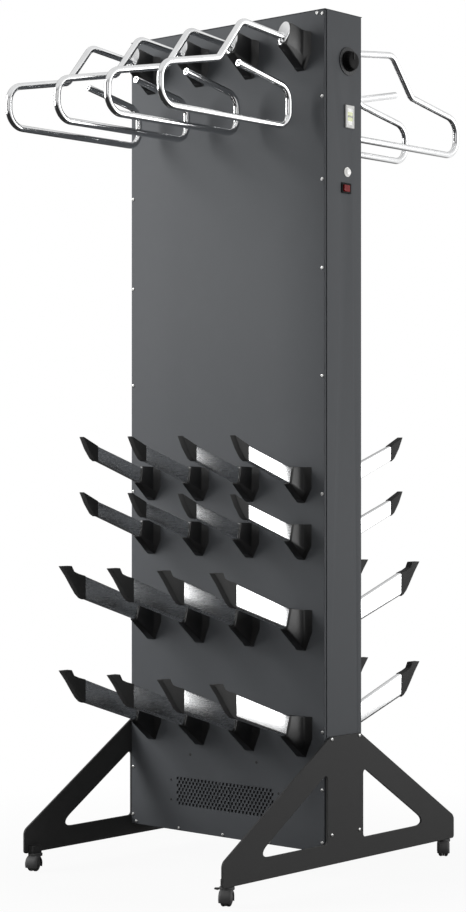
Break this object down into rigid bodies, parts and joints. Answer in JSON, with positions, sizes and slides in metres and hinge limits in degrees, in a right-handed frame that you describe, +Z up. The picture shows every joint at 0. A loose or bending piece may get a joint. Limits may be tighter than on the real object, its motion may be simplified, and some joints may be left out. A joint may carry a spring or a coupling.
{
  "type": "clothes drying stand",
  "caption": "Upright two-sided air-drying stand on two castored foot plates, with hangers, glove arms and boot arms fed by a blower.",
  "frame": {"origin": "on the floor, under the middle of the cabinet", "axes": "+X towards the side with the controls, -Y out of the face with the air intake, +Z up"},
  "size_m": [0.6026, 1.0016, 1.828],
  "materials": {
    "cabinet_paint": "anthracite powder coat, fine texture",
    "foot_paint": "charcoal powder coat, fine texture",
    "nozzle_plastic": "black, fine grain",
    "arm_aluminium": "brushed",
    "hanger_chrome": "polished",
    "castor_plastic": "dark grey",
    "wheel_rubber": "dark, dull",
    "filter_foam": "dark foam",
    "inner_steel": "galvanised",
    "black_plastic": "black",
    "heater_aluminium": "plain",
    "dial_aluminium": "satin, ring printed on it",
    "white_plastic": "white",
    "meter_glass": "tinted window",
    "lamp_white": "white lens",
    "rocker_red": "red"
  },
  "bodies": {
    "cabinet": {"front_panel": "cabinet_paint", "rear_panel": "cabinet_paint", "right_side_cover": "cabinet_paint", "left_side_cover": "cabinet_paint", "top_cover": "cabinet_paint", "bottom_tray": "cabinet_paint", "foot_plate_right": "foot_paint", "foot_plate_left": "foot_paint", "hanger_nozzles_front": "nozzle_plastic", "glove_nozzles_front_upper": "nozzle_plastic", "glove_nozzles_front_lower": "nozzle_plastic", "boot_nozzles_front_upper": "nozzle_plastic", "boot_nozzles_front_lower": "nozzle_plastic", "hanger_nozzles_rear": "nozzle_plastic", "glove_nozzles_rear_upper": "nozzle_plastic", "glove_nozzles_rear_lower": "nozzle_plastic", "boot_nozzles_rear_upper": "nozzle_plastic", "boot_nozzles_rear_lower": "nozzle_plastic", "glove_arms_front_upper": "arm_aluminium", "glove_arms_front_lower": "arm_aluminium", "boot_arms_front_upper": "arm_aluminium", "boot_arms_front_lower": "arm_aluminium", "glove_arms_rear_upper": "arm_aluminium", "glove_arms_rear_lower": "arm_aluminium", "boot_arms_rear_upper": "arm_aluminium", "boot_arms_rear_lower": "arm_aluminium", "hanger_front_1": "hanger_chrome", "hanger_front_2": "hanger_chrome", "hanger_front_3": "hanger_chrome", "hanger_front_4": "hanger_chrome", "hanger_rear_1": "hanger_chrome", "hanger_rear_2": "hanger_chrome", "hanger_rear_3": "hanger_chrome", "hanger_rear_4": "hanger_chrome", "intake_filter": "filter_foam", "fan_shelf": "inner_steel", "blower_housing": "inner_steel", "blower_motor": "inner_steel", "rocker_frame": "black_plastic", "cable_gland": "black_plastic", "heater_element": "heater_aluminium", "dial_plate": "dial_aluminium", "timer_body": "white_plastic", "meter_housing": "white_plastic", "meter_window": "meter_glass", "pilot_lamp": "lamp_white"},
    "timer_knob": {"timer_knob": "black_plastic"},
    "rocker": {"rocker_button": "rocker_red"},
    "impeller": {"blower_impeller": "black_plastic"},
    "castor_front_right": {"castor_hood_front_right": "castor_plastic"},
    "wheels_front_right": {"castor_wheels_front_right": "wheel_rubber"},
    "castor_front_left": {"castor_hood_front_left": "castor_plastic"},
    "wheels_front_left": {"castor_wheels_front_left": "wheel_rubber"},
    "castor_rear_right": {"castor_hood_rear_right": "castor_plastic"},
    "wheels_rear_right": {"castor_wheels_rear_right": "wheel_rubber"},
    "castor_rear_left": {"castor_hood_rear_left": "castor_plastic"},
    "wheels_rear_left": {"castor_wheels_rear_left": "wheel_rubber"},
    "brake_front_right": {"brake_lever_front_right": "castor_plastic"},
    "brake_rear_left": {"brake_lever_rear_left": "castor_plastic"}
  },
  "joints": [
    {"name": "timer_turn", "type": "hinge", "parent": "cabinet", "child": "timer_knob", "pos_m": [0.283, 0.015, 1.727], "axis": [-1, 0, 0], "range_deg": [0, 300]},
    {"name": "rocker_tilt", "type": "hinge", "parent": "cabinet", "child": "rocker", "pos_m": [0.281, 0.007, 1.458], "axis": [0, 0, 1], "range_deg": [-14, 0]},
    {"name": "impeller_spin", "type": "hinge", "parent": "cabinet", "child": "impeller", "pos_m": [0, 0, 0.16], "axis": [0, 1, 0], "continuous": true},
    {"name": "swivel_front_right", "type": "hinge", "parent": "cabinet", "child": "castor_front_right", "pos_m": [0.2768, -0.363, 0.04], "axis": [0, 0, 1], "continuous": true},
    {"name": "roll_front_right", "type": "hinge", "parent": "castor_front_right", "child": "wheels_front_right", "pos_m": [0.28104, -0.36978, 0.016], "axis": [0.848, 0.5299, 0], "continuous": true},
    {"name": "brake_front_right_press", "type": "hinge", "parent": "castor_front_right", "child": "brake_front_right", "pos_m": [0.26204, -0.37222, 0.0335], "axis": [0.5299, -0.848, 0], "range_deg": [0, 18]},
    {"name": "swivel_front_left", "type": "hinge", "parent": "cabinet", "child": "castor_front_left", "pos_m": [-0.2768, -0.363, 0.04], "axis": [0, 0, 1], "continuous": true},
    {"name": "roll_front_left", "type": "hinge", "parent": "castor_front_left", "child": "wheels_front_left", "pos_m": [-0.2738, -0.37042, 0.016], "axis": [0.9272, 0.3746, 0], "continuous": true},
    {"name": "swivel_rear_right", "type": "hinge", "parent": "cabinet", "child": "castor_rear_right", "pos_m": [0.2768, 0.363, 0.04], "axis": [0, 0, 1], "continuous": true},
    {"name": "roll_rear_right", "type": "hinge", "parent": "castor_rear_right", "child": "wheels_rear_right", "pos_m": [0.28162, 0.35661, 0.016], "axis": [0.7986, 0.6018, 0], "continuous": true},
    {"name": "swivel_rear_left", "type": "hinge", "parent": "cabinet", "child": "castor_rear_left", "pos_m": [-0.2768, 0.363, 0.04], "axis": [0, 0, 1], "continuous": true},
    {"name": "roll_rear_left", "type": "hinge", "parent": "castor_rear_left", "child": "wheels_rear_left", "pos_m": [-0.2728, 0.35607, 0.016], "axis": [0.866, 0.5, 0], "continuous": true},
    {"name": "brake_rear_left_press", "type": "hinge", "parent": "castor_rear_left", "child": "brake_rear_left", "pos_m": [-0.29187, 0.3543, 0.0335], "axis": [0.5, -0.866, 0], "range_deg": [0, 18]}
  ]
}
